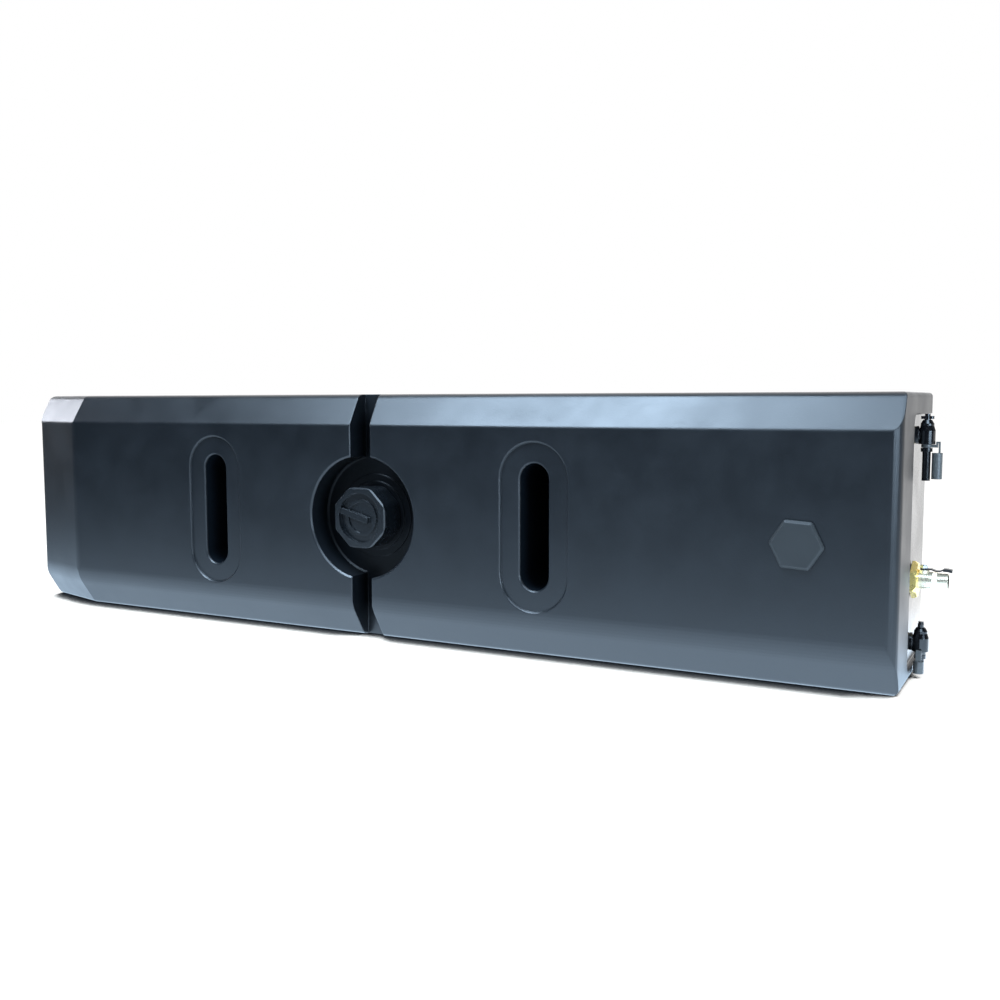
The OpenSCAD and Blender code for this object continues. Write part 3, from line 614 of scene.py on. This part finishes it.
class BuildStage(bpy.types.Operator):
    """Make the pale floor, the white surroundings, the soft lights and the camera"""

    bl_idname = "water_tank.build_stage"
    bl_label = "Build the stage"

    def execute(self, context):
        studio = setting("studio_setup")
        scene = context.scene
        self.make_camera(scene, studio)
        self.make_world(scene, studio)
        self.make_floor(scene, studio)
        for name, watts, place, target, wide, high, tint in LIGHTS:
            soft_light(name, getattr(studio, watts), place, target, wide, high,
                       getattr(studio, tint))
        scene.view_settings.view_transform = "Standard"
        return {"FINISHED"}

    def make_camera(self, scene, studio):
        data = bpy.data.cameras.new("photo_camera")
        data.sensor_width = 36
        data.lens = studio.lens
        data.clip_start, data.clip_end = 0.01, 60
        camera = bpy.data.objects.new("photo_camera", data)
        scene.collection.objects.link(camera)
        yaw, pitch = studio.camera_yaw, studio.camera_pitch
        level = math.cos(pitch)
        ahead = Vector((-math.sin(yaw) * level, math.cos(yaw) * level, -math.sin(pitch)))
        right = Vector((math.cos(yaw), math.sin(yaw), 0))
        up = right.cross(ahead)
        turn = Matrix((right, up, -ahead)).transposed()
        turn = turn @ Matrix.Rotation(studio.camera_roll, 3, "Z")
        camera.matrix_world = Matrix.Translation(studio.camera_place) @ turn.to_4x4()
        scene.camera = camera

    def make_world(self, scene, studio):
        """White surroundings that fill the shadows, and a room that only the gloss sees."""
        world = bpy.data.worlds.new("white_surroundings")
        world.use_nodes = True
        f = Nodes(world.node_tree)
        path, seen = f.seen_directly()
        x, y, _ = f.axes(f.add("ShaderNodeTexCoord").outputs["Generated"])
        back = f.between(y, ROOM_DIM, studio.back_glow, *ROOM_BACK, curve="SMOOTHSTEP")
        right = f.between(x, 1.0, ROOM_RIGHT_GLOW, *ROOM_RIGHT, curve="SMOOTHSTEP")
        room = f.blend(path["Is Glossy Ray"], 1.0, f.math("MULTIPLY", back, right))
        sky = f.tree.nodes["Background"]
        f.set(sky.inputs["Color"], WHITE)
        f.set(sky.inputs["Strength"], f.blend(seen, studio.fill, room))
        scene.world = world

    def make_floor(self, scene, studio):
        shape = bmesh.new()
        bmesh.ops.create_grid(shape, x_segments=1, y_segments=1, size=FLOOR_HALF)
        mesh = bpy.data.meshes.new("studio_floor")
        shape.to_mesh(mesh)
        shape.free()
        floor = bpy.data.objects.new("studio_floor", mesh)
        scene.collection.objects.link(floor)
        floor.location.z = CAD_BOX[0].z - FLOOR_GAP
        mesh.materials.append(self.floor_material(studio))

    def floor_material(self, studio):
        """A pale floor that lights the part as paper does, and looks white to the camera."""
        f = Finish("pale_floor")
        pale = studio.floor_colour
        base = f.mix(f.noise(0.3), rgba(pale), lighter(pale, 0.985))
        f.shade(Base_Color=base, Roughness=0.7)
        path, seen = f.seen_directly()
        x, y, _ = f.axes(f.place)
        eye = self.floor_to_the_eye(f, x, studio)
        gloss = self.floor_in_reflections(f, x, y, studio)
        view = f.add("ShaderNodeMixShader", {0: path["Is Glossy Ray"], 1: eye, 2: gloss})
        whole = f.add(
            "ShaderNodeMixShader", {0: seen, 1: f.shader.outputs[0], 2: view.outputs[0]})
        f.set(f.tree.nodes["Material Output"].inputs["Surface"], whole.outputs[0])
        return f.material

    def floor_in_reflections(self, f, x, y, studio):
        """A glow that fades with the distance from the part and joins the room behind it."""
        half = (CAD_BOX[1] - CAD_BOX[0]) / 2
        beside = f.vector("SUBTRACT", f.vector("ABSOLUTE", f.place), (half.x, half.y, 0))
        away = f.measure("LENGTH", f.vector("MAXIMUM", beside, (0, 0, 0)))
        fade = f.math("POWER", math.exp(-1 / studio.glow_fade), away)
        fade = f.math("MULTIPLY", fade, studio.near_glow)
        fade = f.math("MULTIPLY", fade, f.between(x, *FLOOR_GLOW_GAIN, *FLOOR_GLOW_X))
        behind = f.between(y, 0.0, 1.0, *FLOOR_BEHIND_Y)
        strength = f.math("MAXIMUM", fade, f.math("MULTIPLY", behind, studio.back_glow))
        tint = f.mix(behind, rgba(studio.cool), WHITE)
        return f.add("ShaderNodeEmission", {"Color": tint, "Strength": strength}).outputs[0]

    def floor_to_the_eye(self, f, x, studio):
        """White, with a thin share of the lights' shadow and a painted contact shadow along the
        part's base.
        """
        reach = f.measure("LENGTH", f.place)
        strength = f.between(reach, *FLOOR_EYE_GLOW, *FLOOR_EYE_REACH)
        shine = f.add("ShaderNodeEmission", {"Color": WHITE, "Strength": strength})
        thin = f.add("ShaderNodeBsdfDiffuse", {"Color": FLOOR_THIN})
        pale = f.add("ShaderNodeAddShader", {0: shine.outputs[0], 1: thin.outputs[0]})
        # Painted contact shadow: ambient occlusion next to the part mixes in a near-black floor,
        # less so past the part's right end.
        shaded = f.add("ShaderNodeBsdfDiffuse", {"Color": FLOOR_SHADE})
        sky = f.add("ShaderNodeAmbientOcclusion", {"Distance": studio.contact_reach}, samples=8)
        past_end = f.between(x, 0.0, FLOOR_OPEN_GAIN, *FLOOR_OPEN_X)
        open_sky = f.math("ADD", sky.outputs["AO"], past_end)
        lit = f.between(open_sky, 0.0, 1.0, *FLOOR_CONTACT)
        sockets = {0: lit, 1: shaded.outputs[0], 2: pale.outputs[0]}
        return f.add("ShaderNodeMixShader", sockets).outputs[0]


class WaterTankPanel(bpy.types.Panel):
    """The steps that dress the water tank"""

    bl_idname = "VIEW3D_PT_water_tank"
    bl_label = "Water tank"
    bl_space_type = "VIEW_3D"
    bl_region_type = "UI"
    bl_category = "Water tank"

    def draw(self, context):
        for group, name in GROUPS.items():
            box = self.layout.box()
            for key in group.__annotations__:
                box.prop(setting(name), key)
        for step in STEPS:
            self.layout.operator(step.bl_idname)


GROUPS = {TankFinish: "tank_finish", FittingFinish: "fitting_finish", StudioSetup: "studio_setup"}
STEPS = (FinishShell, FinishCap, FinishBadge, FinishTaps, FinishValve, BuildStage)


def register():
    for kind in (*GROUPS, *STEPS, WaterTankPanel):
        bpy.utils.register_class(kind)
    for kind, name in GROUPS.items():
        setattr(bpy.types.Scene, name, bpy.props.PointerProperty(type=kind))


def unregister():
    for name in GROUPS.values():
        delattr(bpy.types.Scene, name)
    for kind in (WaterTankPanel, *reversed(STEPS), *reversed(list(GROUPS))):
        bpy.utils.unregister_class(kind)


def main():
    register()
    for step in STEPS:
        group, name = step.bl_idname.split(".")
        getattr(getattr(bpy.ops, group), name)()


if __name__ == "__main__":
    main()
